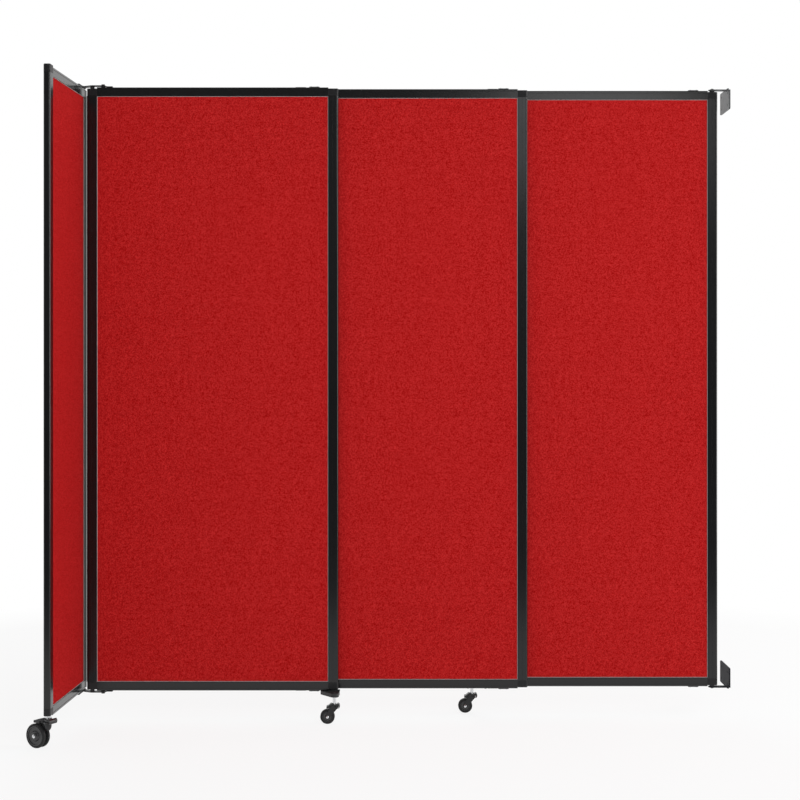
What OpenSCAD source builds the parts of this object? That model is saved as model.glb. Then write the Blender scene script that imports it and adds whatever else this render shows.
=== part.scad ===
// Sliding partition for a doorway or an open room.
// Three equal fabric panels telescope past each other on guides at their tops and bottoms.
// The last panel swings on a wall pivot, the first carries a narrow end panel on a hinge,
// and swivel casters with rocker brakes take the weight.
// While the pieces are drawn, x = 0 is the wall face, y = 0 the middle plane of panel 3
// and z = 0 the floor. The finished part has its origin at the lower wall plate.

/* [Panels] */
// Width of each sliding panel
panel_w = 825; // [700:5:1100]
// Width of the hinged end panel
end_panel_w = 452; // [350:2:600]
// Height of the panel frames
frame_h = 1980; // [1500:10:2600]
// Clear height under the frames
floor_gap = 99; // [99:1:140]
// Distance between the middle planes of neighbouring panels
pitch = 34.5; // [32:0.5:50]
// Angle that the end panel is folded forward from straight
end_fold = 86.9; // [0:0.1:100]
// How far panel 1 stands short of its outer stop
short_of_stop = 10; // [0:1:300]

/* [Frame profiles] */
// Thickness of posts and rails
frame_t = 22; // [20:0.5:24]
// Face width of a post
post_face = 33; // [31:0.5:45]
// Face height of a rail
rail_face = 29.5; // [28:0.5:40]
// Wall of the hollow extrusions
skin = 2; // [1.6:0.1:2.4]
// Outer rounding of a post
post_round = 6.5; // [4:0.5:7]
// Outer rounding of a rail
rail_round = 4; // [2:0.5:5]
// Width of the decorative face grooves
line_w = 1.4; // [1:0.1:2]
// Depth of the decorative face grooves
line_deep = 0.8; // [0.4:0.1:1]
// Distance of a post's face groove from its outer edge
post_line_at = 17; // [12:0.5:20]
// Distance of a rail's face groove from its outer edge
rail_line_at = 8; // [6:0.5:10]

/* [Track and guides] */
// Width of the middle land between the two tracks
land_w = 8; // [7.5:0.1:9]
// Width of each track groove
track_w = 4.5; // [4:0.1:5]
// Depth of each track groove
track_deep = 7; // [6:0.5:8]
// Length of a guide plate along the rail
guide_l = 34; // [30:1:40]
// Thickness of a guide plate
guide_t = 3; // [2.5:0.1:4]
// Distance from a panel's right edge to its guide plate
right_guide_at = 62; // [60:1:80]
// Distance from a panel's left edge to its guide plate
left_guide_at = 60; // [60:1:80]
// Length of a nylon glide
glide_l = 28; // [20:1:30]
// Depth of a glide in its track
glide_deep = 6; // [4:0.5:6.5]
// Distance of a guide screw from the end of its plate
screw_in = 7; // [5:0.5:9]

/* [Fabric boards] */
// Thickness of a fabric board
board_t = 17; // [14:0.5:17.5]
// How far a board's edge sits inside the frame
board_grip = 8; // [5:0.5:9]

/* [Corner caps] */
// Height of a cap's visible body
cap_h = 23; // [22:1:27]
// How far a cap stops short of the rail's outer face
cap_drop = 4; // [3:0.5:6]
// Length of the plugs that enter the post and the rail
plug_l = 20; // [12:1:30]
// Step of the cap's rim
cap_rim = 1; // [0.5:0.1:2]
// How far the end panel's outer top cap stands above the other caps
outer_cap_rise = 8.5; // [0:0.5:12]
// How much longer its post is
outer_post_rise = 6; // [0:0.5:7]

/* [Wall brackets] */
// Gap from panel 3 to the wall
wall_gap = 42.5; // [30:0.5:60]
// Thickness of a wall plate
wall_plate_t = 5; // [3:0.5:8]
// Length of a wall plate along the wall
wall_plate_l = 150; // [120:5:200]
// Height of a wall plate
wall_plate_h = 72; // [60:1:90]
// How far a wall plate reaches past the frame
wall_plate_over = 12; // [8:0.5:20]
// Corner radius of a wall plate
wall_plate_r = 6; // [2:0.5:10]
// Width of the pivot tab
tab_w = 25; // [20:1:28]
// Thickness of the pivot tab
tab_t = 3; // [3:0.5:6]
// Spacing of the wall screws along the wall
wall_hole_dy = 100; // [80:5:120]
// Spacing of the wall screws in height
wall_hole_dz = 40; // [30:1:50]
// Diameter of a wall screw hole
wall_hole_d = 6.5; // [4:0.5:8]

/* [Hinge and pivots] */
// Diameter of the pivot pins
pin_d = 8; // [6:0.5:10]
// Depth of a pin in its corner cap
pin_in_cap = 16; // [10:1:20]
// Distance from panel 1's edge to the hinge axis
hinge_out = 20.5; // [20:0.5:30]
// Distance of the hinge axis behind panel 1's middle plane
hinge_back = 22.5; // [0:0.5:24]
// Thickness of the hinge plates
hinge_t = 3; // [2.5:0.5:5]
// Length of the raised part of panel 1's hinge plate on the panel
hinge_high_l = 57; // [50:1:70]
// Length of its slope
hinge_slope_l = 9; // [5:1:15]
// Length of its low flange
hinge_low_l = 18; // [15:1:20]
// Distance of the square bolt from panel 1's edge
square_bolt_at = 52; // [46:1:52]
// Length of the end panel's hinge plate from the axis
end_plate_l = 85; // [60:1:110]
// Diameter of the hinge bolts
bolt_d = 6; // [4:0.5:6.5]
// Diameter of the frame screws
screw_d = 4; // [3:0.5:4.5]

/* [Caster arms] */
// Length of an arm's base along the rail
arm_base = 58; // [52:1:58]
// Distance from the panel's face to the caster stem
arm_reach = 38; // [30:1:60]
// Distance of the caster stem inside the panel's edge
arm_inset = 11; // [5:1:20]
// Radius of the arm's tip
arm_tip_r = 14; // [12:0.5:18]
// Thickness of the arm's sheet
arm_t = 3; // [2:0.5:4]
// Height of the arm's lip
arm_lip = 12; // [8:1:16]

/* [Small casters] */
// Diameter of a small wheel
small_wheel_d = 47; // [40:1:52]
// Width of a small wheel
small_wheel_w = 20; // [16:1:24]
// Distance from stem to wheel centre
small_trail = 22.5; // [20:0.5:26]
// Half length of the fork's crown
small_crown = 14; // [13:0.5:16]
// Thickness of the fork's sheet
small_fork_t = 2.5; // [2:0.1:3]
// Diameter of the axle
small_axle_d = 6; // [5:0.5:8]
// Turn of the front caster away from the panel line
front_turn = 0; // [-180:1:180]
// Turn of the rear caster away from the panel line
rear_turn = 0; // [-180:1:180]

/* [Large caster] */
// Diameter of the large wheel
large_wheel_d = 75; // [70:1:76]
// Width of the large wheel
large_wheel_w = 31; // [24:1:32]
// Distance from stem to wheel centre
large_trail = 41; // [36:0.5:44]
// Half length of the fork's crown
large_crown = 19; // [17:0.5:22]
// Thickness of the fork's sheet
large_fork_t = 3; // [2.5:0.1:3.5]
// Diameter of the axle
large_axle_d = 8; // [6:0.5:10]
// Turn of the large caster against the room
large_turn = -31; // [-180:0.5:180]

/* [Caster stems and brakes] */
// Diameter of a caster stem
stem_d = 12; // [10:0.5:12.5]
// Depth of the large caster's stem in its corner cap
stem_in_cap = 20; // [10:1:21]
// Height from the tyre to the fork's crown
crown_room = 7; // [6.5:0.1:8]
// Gap from the tyre to the brake shoe when released
shoe_gap = 4; // [3.5:0.1:5]
// Side gap between the wheel and the fork
wheel_side_gap = 1.2; // [0.8:0.1:2]
// Thickness of the rocker's side arms in height
rocker_t = 4; // [3:0.5:5]
// Height of the rocker's ridges above its side arms
ridge_h = 4.5; // [2:0.5:5]
// Gap from the fork's crown to the rocker
rocker_gap = 1.4; // [1:0.1:2]
// Diameter of the rocker's trunnions
trunnion_d = 4; // [3:0.5:5]
// Distance of the trunnions behind the stem
trunnion_back = 6; // [5:0.5:7]

/* [Hidden] */
$fn = 48;

// clearances
run = 0.05;       // radial clearance of a pin in its bore
board_slack = 0.3; // gap between a board's face and its channel
board_end = 0.5;  // gap between a board's edge and the channel's floor
plug_slack = 0.1; // gap round a cap's plug
side_slack = 0.2; // gap each side of a glide in its track
pass_gap = 0.5;   // gap between guides that pass each other
over_gap = 0.4;   // gap between plates that turn over each other
arm_gap = 0.4;    // side gap between the rocker and the fork
swivel_gap = 0.3; // gap above and below the fork's crown

// proportions of small stock items
pan_head_d = 7;
pan_head_h = 2.4;
screw_l = 12;
dome_h = 4.2;
dome_d = 16;
square_head = 10;
square_head_h = 4;
flat_head_h = 2;
bolt_l = 12;
peg_d = 3.2;
nut_af = 19;
nut_h = 7;
boss_wall = 4;
ear_r = 4.5;
rocker_round = 0.8;
crown_cut = 4;

panels = 3;
top_z = floor_gap + frame_h;
mid_z = floor_gap + frame_h / 2;
cap_top = top_z - cap_drop;
track_y = land_w / 2 + track_w / 2;
channel_t = board_t + 2 * board_slack;
channel_deep = board_grip + board_end;
stop_gap = 1;
stop_overlap = right_guide_at + left_guide_at + 2 * guide_l + stop_gap;
post_mid = post_face / 2;

// rail profile, heights counted from its inner edge
rail_room_from = channel_deep + skin;
rail_room_to = rail_face - track_deep - skin;
// post profile, widths counted from its outer edge
post_room_to = post_face - channel_deep - skin;

// hinge levels
hinge_high_z = hinge_t + over_gap;
hinge_end = hinge_high_l + hinge_slope_l + hinge_low_l;

// wall plate
plate_y0 = -tab_w / 2;
plate_mid_y = plate_y0 + wall_plate_l / 2;
plate_mid_z = top_z + wall_plate_over - wall_plate_h / 2;
lower_plate_mid_z = 2 * mid_z - plate_mid_z;
tab_z = top_z + 1;
wall_pivot_x = -wall_gap - post_mid;

function panel_y(i) = (i - panels) * pitch;
function right_edge(i) = -wall_gap
    - (panels - i) * (panel_w - stop_overlap)
    + (i == 1 ? short_of_stop : 0);

small = ["small", small_wheel_d, small_wheel_w, small_trail, small_crown, small_fork_t, small_axle_d];
large = ["large", large_wheel_d, large_wheel_w, large_trail, large_crown, large_fork_t, large_axle_d];
function wheel_d(c) = c[1];
function wheel_w(c) = c[2];
function trail(c) = c[3];
function crown(c) = c[4];
function fork_t(c) = c[5];
function axle_d(c) = c[6];
function crown_z(c) = wheel_d(c) + crown_room;
function leg_y(c) = wheel_w(c) / 2 + wheel_side_gap;
function leg_out(c) = leg_y(c) + fork_t(c);
function rocker_z(c) = crown_z(c) + fork_t(c) + rocker_gap;
function trunnion_z(c) = rocker_z(c) + rocker_t / 2;

FRAME = ["left_post", "right_post", "top_rail", "bottom_rail", "fabric_board", "corner_caps"];
GUIDES = ["guide_plates", "guide_glides", "screws"];
CASTER = ["stem", "fork", "axle", "wheel_hub", "tyre", "brake_rocker"];

black = [0.07, 0.07, 0.075];
satin = [0.12, 0.12, 0.125];
red = [0.66, 0.09, 0.1];
zinc = [0.78, 0.79, 0.8];
steel = [0.24, 0.25, 0.25];
nylon = [0.16, 0.16, 0.17];
rubber = [0.05, 0.05, 0.055];

// helpers

module from_floor() {
    translate([0, -plate_mid_y, -lower_plate_mid_z]) children();
}

module in_panel(i) {
    from_floor() translate([right_edge(i) - panel_w, panel_y(i), 0]) children();
}

// the end panel's own x runs from its outer edge to its hinge edge
module in_end_panel() {
    in_panel(1)
        translate([-hinge_out, hinge_back, 0])
        rotate([0, 0, end_fold])
        translate([post_mid - end_panel_w, 0, 0])
        children();
}

// what is drawn at the top is drawn again, upside down, at the bottom
module top_and_bottom() {
    children();
    translate([0, 0, 2 * mid_z]) mirror([0, 0, 1]) children();
}

module both_sides() {
    children();
    mirror([0, 1, 0]) children();
}

module from_right(w) {
    translate([w, 0, 0]) mirror([1, 0, 0]) children();
}

// a flat bar whose left corners are round, seen from its end
module round_edged(w, t, r) {
    translate([r, -t / 2]) square([w - r, t]);
    translate([0, r - t / 2]) square([r, t - 2 * r]);
    for (s = [-1, 1]) translate([r, s * (t / 2 - r)]) circle(r);
}

module rounded_rectangle(l, w, r) {
    translate([r, 0]) square([l - 2 * r, w]);
    translate([0, r]) square([l, w - 2 * r]);
    for (x = [r, l - r], y = [r, w - r]) translate([x, y]) circle(r);
}

module slot_shape(l, w) {
    translate([-l / 2 + w / 2, -w / 2]) square([l - w, w]);
    for (s = [-1, 1]) translate([s * (l - w) / 2, 0]) circle(d = w);
}

module hole(d, z0, z1) {
    translate([0, 0, z0]) cylinder(d = d, h = z1 - z0);
}

// a domed head that stands on z = 0
module dome(d, h) {
    rotate_extrude() intersection() {
        translate([0, h - (d * d / 4 + h * h) / (2 * h)]) circle((d * d / 4 + h * h) / (2 * h));
        square([d / 2, h]);
    }
}

// panel frames, drawn from x = 0 at the left edge to x = w at the right edge

module post_profile() {
    difference() {
        round_edged(post_face, frame_t, post_round);
        translate([skin, skin - frame_t / 2]) square([post_room_to - skin, frame_t - 2 * skin]);
        translate([post_face - channel_deep, -channel_t / 2]) square([channel_deep + 1, channel_t]);
        for (s = [-1, 1]) translate([post_line_at, s * frame_t / 2 - line_deep]) square([line_w, 2 * line_deep]);
    }
}

module left_post(rise = 0) {
    color(black)
        translate([0, 0, floor_gap + cap_drop + cap_h])
        linear_extrude(frame_h - 2 * (cap_drop + cap_h) + rise)
        post_profile();
}

// the profile stands with its inner edge on v = 0 and its two tracks on top
module rail_profile() {
    difference() {
        rotate(-90) translate([-rail_face, 0]) round_edged(rail_face, frame_t, rail_round);
        translate([skin - frame_t / 2, rail_room_from])
            square([frame_t - 2 * skin, rail_room_to - rail_room_from]);
        translate([-channel_t / 2, -1]) square([channel_t, channel_deep + 1]);
        for (s = [-1, 1]) {
            translate([s * track_y - track_w / 2, rail_face - track_deep]) square([track_w, track_deep + 1]);
            translate([s * frame_t / 2 - line_deep, rail_face - rail_line_at - line_w])
                square([2 * line_deep, line_w]);
        }
    }
}

// holes lists the places of the screws along the rail and their diameters
module top_rail(w, holes) {
    color(black) difference() {
        translate([post_face, 0, top_z - rail_face])
            rotate([90, 0, 90])
            linear_extrude(w - 2 * post_face)
            rail_profile();
        for (h = holes) translate([h[0], 0, 0]) hole(h[1] + 2 * run, top_z - track_deep - skin - 1, top_z + 1);
    }
}

module bottom_rail(w, holes) {
    translate([0, 0, 2 * mid_z]) mirror([0, 0, 1]) top_rail(w, holes);
}

module fabric_board(w) {
    color(red)
        translate([post_face - board_grip, -board_t / 2, floor_gap + rail_face - board_grip])
        cube([
            w - 2 * (post_face - board_grip),
            board_t,
            frame_h - 2 * (rail_face - board_grip)
        ]);
}

// one cap: a body with a rim step, a plug down into the post and a plug into the rail
module corner_cap(bore_d, bore_deep, rise = 0, post_rise = 0) {
    cap_end = cap_top + rise;
    post_end = cap_top - cap_h + post_rise;
    board_room = top_z - rail_face + channel_deep;
    difference() {
        union() {
            translate([0, 0, post_end])
                linear_extrude(cap_end - cap_rim - post_end)
                round_edged(post_face, frame_t, post_round);
            translate([cap_rim, 0, cap_end - cap_rim])
                linear_extrude(cap_rim)
                round_edged(post_face - 2 * cap_rim, frame_t - 2 * cap_rim, post_round - cap_rim);
            translate([
                skin + plug_slack,
                skin + plug_slack - frame_t / 2,
                post_end - plug_l
            ])
                cube([
                    post_room_to - skin - 2 * plug_slack,
                    frame_t - 2 * (skin + plug_slack),
                    plug_l + 1
                ]);
            translate([
                post_face - 1,
                skin + plug_slack - frame_t / 2,
                top_z - rail_face + rail_room_from + plug_slack
            ])
                cube([
                    plug_l + 1,
                    frame_t - 2 * (skin + plug_slack),
                    rail_room_to - rail_room_from - 2 * plug_slack
                ]);
        }
        if (board_room > post_end) {
            translate([post_face - channel_deep, -channel_t / 2, post_end - 1])
                cube([channel_deep + 1, channel_t, board_room - post_end + 1]);
        }
        if (bore_d > 0) translate([post_mid, 0, 0]) hole(bore_d + 2 * run, cap_end - bore_deep, cap_end + 1);
    }
}

// bores are [diameter, depth] for top left, top right, bottom left and bottom right
module corner_caps(w, bores, rise = 0, post_rise = 0) {
    color(satin) {
        corner_cap(bores[0][0], bores[0][1], rise, post_rise);
        from_right(w) corner_cap(bores[1][0], bores[1][1]);
        translate([0, 0, 2 * mid_z]) mirror([0, 0, 1]) {
            corner_cap(bores[2][0], bores[2][1]);
            from_right(w) corner_cap(bores[3][0], bores[3][1]);
        }
    }
}

// guides

left_screws = [left_guide_at + screw_in, left_guide_at + guide_l - screw_in];
right_screws = [panel_w - right_guide_at - screw_in, panel_w - right_guide_at - guide_l + screw_in];
low_flange_screw = hinge_high_l + hinge_slope_l + hinge_low_l / 2;
guide_reach = pitch - land_w / 2 - pass_gap;
no_bore = [0, 0];
pin_bore = [pin_d, pin_in_cap];
bolt_bore = [bolt_d, bolt_l];
stem_bore = [stem_d, stem_in_cap];

// the guide plate at a panel's left end reaches forward, the one at its right end backward
module guide_plate_left(reach) {
    difference() {
        translate([left_guide_at, -reach, top_z])
            linear_extrude(guide_t)
            rounded_rectangle(guide_l, reach + land_w / 2, 3);
        for (x = left_screws) translate([x, 0, 0]) hole(screw_d + 2 * run, top_z - 1, top_z + guide_t + 1);
        if (reach > pitch / 2) {
            translate([left_guide_at + guide_l / 2, track_y - pitch, 0])
                hole(peg_d + 2 * run, top_z - 1, top_z + guide_t + 1);
        }
    }
}

module guide_plate_right(reach) {
    translate([panel_w, 0, 0])
        rotate([0, 0, 180])
        translate([right_guide_at - left_guide_at, 0, 0])
        guide_plate_left(reach);
}

module guide_plates(i) {
    color(steel) top_and_bottom() {
        if (i > 1) guide_plate_left(guide_reach);
        guide_plate_right(i < panels ? guide_reach : frame_t / 2);
    }
}

module glide() {
    translate([0, 0, top_z - glide_deep]) linear_extrude(glide_deep) slot_shape(glide_l, track_w - 2 * side_slack);
    hole(peg_d, top_z - 1, top_z + guide_t);
}

module guide_glides(i) {
    color(nylon) top_and_bottom() {
        if (i > 1) translate([left_guide_at + guide_l / 2, track_y - pitch, 0]) glide();
        if (i < panels) translate([panel_w - right_guide_at - guide_l / 2, pitch - track_y, 0]) glide();
    }
}

module pan_screw(z) {
    hole(screw_d, z - screw_l, z + 0.5);
    translate([0, 0, z]) dome(pan_head_d, pan_head_h);
}

// panel 3's right guide seat is a plain pad, because no panel follows it
module panel_screws(i) {
    color(zinc) {
        top_and_bottom() {
            if (i > 1) for (x = left_screws) translate([x, 0, 0]) pan_screw(top_z + guide_t);
            for (x = right_screws) translate([x, 0, 0]) pan_screw(top_z + guide_t);
            if (i == 1) translate([low_flange_screw, 0, 0]) pan_screw(top_z + hinge_t);
        }
        if (i == 1) translate([panel_w, 0, 0]) mirror([1, 0, 0]) arm_screws();
        if (i == panels) arm_screws();
    }
}

// caster arms, drawn for a left end and reaching backward

arm_screw_at = 44;

module arm_outline() {
    hull() {
        translate([-5, -frame_t / 2]) square([arm_base + 5, frame_t]);
        translate([arm_inset, frame_t / 2 + arm_reach]) circle(arm_tip_r, $fn = 32);
    }
}

module caster_arm() {
    color(satin) difference() {
        union() {
            translate([0, 0, floor_gap - arm_t]) linear_extrude(arm_t) arm_outline();
            translate([0, 0, floor_gap - arm_lip]) linear_extrude(arm_lip - arm_t) difference() {
                arm_outline();
                offset(delta = -arm_t) arm_outline();
                translate([-20, -frame_t / 2 - 1]) square([arm_base + 40, frame_t + 1]);
            }
            translate([post_mid, 0, floor_gap - arm_t]) cylinder(d = bolt_d + 2 * boss_wall, h = arm_t + cap_drop);
        }
        translate([arm_inset, frame_t / 2 + arm_reach, 0]) hole(stem_d + 2 * run, 0, floor_gap + 1);
        translate([arm_screw_at, 0, 0]) hole(screw_d + 2 * run, 0, floor_gap + 1);
        translate([post_mid, 0, 0]) hole(bolt_d + 2 * run, 0, floor_gap + cap_drop + 1);
    }
}

module arm_screws() {
    translate([0, 0, 2 * mid_z]) mirror([0, 0, 1]) {
        translate([arm_screw_at, 0, 0]) pan_screw(top_z + arm_t);
        translate([post_mid, 0, 0]) {
            hole(bolt_d, cap_top - bolt_l + 1, top_z + arm_t + 0.5);
            translate([0, 0, top_z + arm_t]) dome(bolt_d + 5, pan_head_h + 0.8);
        }
    }
}

// wall brackets and pivots

module wall_bracket() {
    color(steel) difference() {
        union() {
            translate([0, plate_y0, plate_mid_z - wall_plate_h / 2])
                rotate([0, -90, 0])
                linear_extrude(wall_plate_t)
                rounded_rectangle(wall_plate_h, wall_plate_l, wall_plate_r);
            translate([wall_pivot_x, -tab_w / 2, tab_z]) cube([-wall_pivot_x, tab_w, tab_t]);
            translate([wall_pivot_x, 0, tab_z]) cylinder(d = tab_w, h = tab_t);
        }
        translate([-wall_plate_t - 1, plate_y0 - 1, tab_z + tab_t])
            cube([wall_plate_t + 2, tab_w + 2, wall_plate_over + 1]);
        translate([wall_pivot_x, 0, 0]) hole(pin_d + 2 * run, tab_z - 1, tab_z + tab_t + 1);
        for (dy = [-1, 1], dz = [-1, 1]) {
            translate([1, plate_mid_y + dy * wall_hole_dy / 2, plate_mid_z + dz * wall_hole_dz / 2])
                rotate([0, -90, 0])
                cylinder(d = wall_hole_d, h = wall_plate_t + 2);
        }
    }
}

module wall_pivot_pins() {
    color(zinc) top_and_bottom() translate([wall_pivot_x, 0, 0]) {
        hole(pin_d, cap_top - pin_in_cap + 1, tab_z + tab_t + 0.5);
        hole(pin_d + 2 * boss_wall, cap_top + swivel_gap, tab_z);
        translate([0, 0, tab_z + tab_t]) dome(dome_d, dome_h);
    }
}

// hinge between panel 1 and the end panel

module hinge_plate() {
    difference() {
        union() {
            translate([0, 0, top_z + hinge_high_z]) linear_extrude(hinge_t) {
                hull() {
                    translate([-hinge_out, hinge_back]) circle(12, $fn = 32);
                    translate([post_mid, 0]) circle(frame_t / 2, $fn = 32);
                }
                translate([post_mid, -frame_t / 2]) square([hinge_high_l - post_mid, frame_t]);
            }
            translate([0, land_w / 2 - pass_gap, top_z]) rotate([90, 0, 0])
                linear_extrude(land_w / 2 - pass_gap + frame_t / 2)
                polygon([
                    [hinge_high_l - 1, hinge_high_z],
                    [hinge_high_l - 1, hinge_high_z + hinge_t],
                    [hinge_high_l, hinge_high_z + hinge_t],
                    [hinge_high_l + hinge_slope_l, hinge_t],
                    [hinge_end, hinge_t],
                    [hinge_end, 0],
                    [hinge_high_l + hinge_slope_l - 1, 0],
                    [hinge_high_l - 0.5, hinge_high_z]
                ]);
            translate([post_mid, 0, 0]) hole(bolt_d + 2 * boss_wall, cap_top, top_z + hinge_high_z + 1);
            translate([square_bolt_at, 0, 0]) hole(bolt_d + 2 * boss_wall, top_z, top_z + hinge_high_z + 1);
        }
        translate([-hinge_out, hinge_back, 0]) hole(pin_d + 2 * run, top_z, top_z + hinge_high_z + hinge_t + 1);
        translate([post_mid, 0, 0]) hole(bolt_d + 2 * run, cap_top - 1, top_z + hinge_high_z + hinge_t + 1);
        translate([square_bolt_at, 0, 0]) hole(bolt_d + 2 * run, top_z - 1, top_z + hinge_high_z + hinge_t + 1);
        translate([low_flange_screw, 0, 0]) hole(screw_d + 2 * run, top_z - 1, top_z + hinge_t + 1);
    }
}

module hinge_plates() {
    color(satin) top_and_bottom() hinge_plate();
}

// the pins, with the round and square bolts that hold the hinge plates on panel 1
module hinge_pins() {
    plate_top = top_z + hinge_high_z + hinge_t;
    color(satin) top_and_bottom() {
        translate([-hinge_out, hinge_back, 0]) {
            hole(pin_d, cap_top - pin_in_cap + 1, plate_top + 0.5);
            translate([0, 0, plate_top]) dome(dome_d, dome_h);
        }
        translate([post_mid, 0, 0]) {
            hole(bolt_d, cap_top - bolt_l + 1, plate_top + 0.5);
            translate([0, 0, plate_top]) dome(bolt_d + 6, flat_head_h);
        }
        translate([square_bolt_at, 0, 0]) {
            hole(bolt_d, top_z - track_deep - skin, plate_top + 0.5);
            translate([-square_head / 2, -square_head / 2, plate_top]) cube([square_head, square_head, square_head_h]);
        }
    }
}

end_pivot_x = end_panel_w - post_mid;
end_screws = [end_panel_w - post_face - 16, end_pivot_x - end_plate_l + 10];

module end_hinge_plates() {
    color(satin) top_and_bottom() difference() {
        union() {
            translate([end_pivot_x - end_plate_l, -frame_t / 2, top_z]) cube([end_plate_l, frame_t, hinge_t]);
            translate([end_pivot_x, 0, top_z]) cylinder(d = frame_t, h = hinge_t);
            translate([end_pivot_x, 0, cap_top]) cylinder(d = pin_d + 2 * boss_wall, h = cap_drop + 1);
        }
        translate([end_pivot_x, 0, 0]) hole(pin_d + 2 * run, cap_top - 1, top_z + hinge_t + 1);
        for (x = end_screws) translate([x, 0, 0]) hole(screw_d + 2 * run, top_z - 1, top_z + hinge_t + 1);
    }
}

// casters, drawn with the stem on the z axis and the wheel on the floor behind it

module caster_stem(c, seat_z, top) {
    over = crown_z(c) + fork_t(c) + swivel_gap;
    color(zinc) {
        hole(stem_d, over, top);
        hole(axle_d(c) + 2, crown_z(c) - swivel_gap - 1, over + 1);
        hole(axle_d(c) + 8, crown_z(c) - swivel_gap - 2, crown_z(c) - swivel_gap);
        translate([0, 0, seat_z - nut_h]) cylinder(d = nut_af / cos(30), h = nut_h, $fn = 6);
    }
}

module fork_leg(c) {
    translate([0, -leg_y(c), 0]) rotate([90, 0, 0]) linear_extrude(fork_t(c)) {
        hull() {
            translate([-crown(c), crown_z(c)]) square([2 * crown(c) - 2, fork_t(c)]);
            translate([-trail(c), wheel_d(c) / 2]) circle(axle_d(c), $fn = 32);
        }
        hull() {
            translate([-trunnion_back, trunnion_z(c)]) circle(ear_r, $fn = 32);
            translate([-trunnion_back - ear_r - 2, crown_z(c)]) square([2 * ear_r + 4, 1]);
        }
    }
}

// the crown, two legs with ears for the rocker, and the web that joins the legs in front
module caster_fork(c) {
    color(rubber) difference() {
        union() {
            intersection() {
                translate([crown_cut - crown(c), -leg_out(c), crown_z(c)])
                    cube([2 * crown(c) - 2 - crown_cut, 2 * leg_out(c), fork_t(c)]);
                cylinder(r = 1.25 * crown(c), h = crown_z(c) + fork_t(c));
            }
            both_sides() fork_leg(c);
            translate([crown(c) - 2 - fork_t(c), 0, 0]) rotate([90, 0, 90]) linear_extrude(fork_t(c)) polygon([
                [-leg_out(c), crown_z(c) + fork_t(c)],
                [leg_out(c), crown_z(c) + fork_t(c)],
                [leg_out(c), crown_z(c) - 3],
                [3, crown_z(c) - 0.44 * wheel_d(c)],
                [-3, crown_z(c) - 0.44 * wheel_d(c)],
                [-leg_out(c), crown_z(c) - 3]
            ]);
        }
        hole(axle_d(c) + 2 + 2 * run, crown_z(c) - 1, crown_z(c) + fork_t(c) + 1);
        translate([-trail(c), 0, wheel_d(c) / 2])
            rotate([90, 0, 0])
            cylinder(d = axle_d(c) + 2 * run, h = 4 * leg_out(c), center = true);
        translate([-trunnion_back, 0, trunnion_z(c)])
            rotate([90, 0, 0])
            cylinder(d = trunnion_d + 2 * run, h = 4 * leg_out(c), center = true);
    }
}

module caster_axle(c) {
    color(zinc) translate([-trail(c), 0, wheel_d(c) / 2]) {
        rotate([90, 0, 0]) cylinder(d = axle_d(c), h = 2 * leg_out(c) + 1, center = true);
        both_sides() translate([0, -leg_out(c), 0]) rotate([90, 0, 0]) dome(axle_d(c) + 3.5, 2.6);
    }
}

module wheel_hub(c) {
    r = wheel_d(c) / 2;
    w = wheel_w(c);
    color(satin) translate([-trail(c), 0, r]) rotate([90, 0, 0]) rotate_extrude() polygon([
        [axle_d(c) / 2 + run, -w / 2],
        [axle_d(c) / 2 + 0.12 * r, -w / 2],
        [axle_d(c) / 2 + 0.18 * r, -w / 2 + 3],
        [0.56 * r, -w / 2 + 3],
        [0.60 * r, -w / 2 + 1],
        [0.68 * r, -w / 2 + 1],
        [0.68 * r, w / 2 - 1],
        [0.60 * r, w / 2 - 1],
        [0.56 * r, w / 2 - 3],
        [axle_d(c) / 2 + 0.18 * r, w / 2 - 3],
        [axle_d(c) / 2 + 0.12 * r, w / 2],
        [axle_d(c) / 2 + run, w / 2]
    ]);
}

module tyre(c) {
    r = wheel_d(c) / 2;
    w = wheel_w(c);
    shoulder = 0.16 * w;
    color(rubber) translate([-trail(c), 0, r]) rotate([90, 0, 0]) rotate_extrude() {
        translate([0.68 * r + run, -w / 2 + 0.4]) square([r - 0.68 * r - run - shoulder, w - 0.8]);
        translate([r - shoulder - 0.1, -w / 2 + 0.4 + shoulder]) square([shoulder + 0.1, w - 0.8 - 2 * shoulder]);
        for (s = [-1, 1]) translate([r - shoulder, s * (w / 2 - 0.4 - shoulder)]) circle(shoulder);
    }
}

// the rocker from the side: a shoe over the tyre behind, a ridge each side of the stem,
// and a toe pad in front that reaches down over the fork's web
module rocker_outline(c) {
    base = rocker_z(c);
    arm_top = base + rocker_t;
    ridge = arm_top + ridge_h;
    shoe = wheel_d(c) + shoe_gap;
    back = trail(c) + 3.5;
    front = crown(c) + 4;
    offset(r = rocker_round) offset(delta = -rocker_round) polygon([
        [-back, shoe],
        [-back + 0.5, arm_top - 4],
        [-back + 6, arm_top - 3],
        [1 - crown(c), ridge - 1],
        [5 - crown(c), ridge],
        [7 - crown(c), arm_top],
        [crown(c) - 7, arm_top],
        [crown(c) - 5, ridge - 1],
        [crown(c) - 1, ridge],
        [front - 1, ridge - 3.5],
        [front, base],
        [front - 2, base - 6],
        [front - 4.5, base - 8],
        [crown(c) - 0.6, base],
        [-crown(c) - 1, base],
        [-crown(c) - 2, shoe]
    ]);
}

module brake_rocker(c) {
    side = leg_y(c) - arm_gap;
    color(black) difference() {
        union() {
            translate([0, side, 0]) rotate([90, 0, 0]) linear_extrude(2 * side) rocker_outline(c);
            translate([-trunnion_back, 0, trunnion_z(c)])
                rotate([90, 0, 0])
                cylinder(d = trunnion_d, h = 2 * leg_out(c), center = true);
        }
        translate([0, 0, rocker_z(c)]) cube([stem_d + 3, stem_d + 3, 30], center = true);
    }
}

module at_front_caster() {
    in_panel(1)
        translate([panel_w - arm_inset, -frame_t / 2 - arm_reach, 0])
        rotate([0, 0, front_turn])
        children();
}

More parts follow.
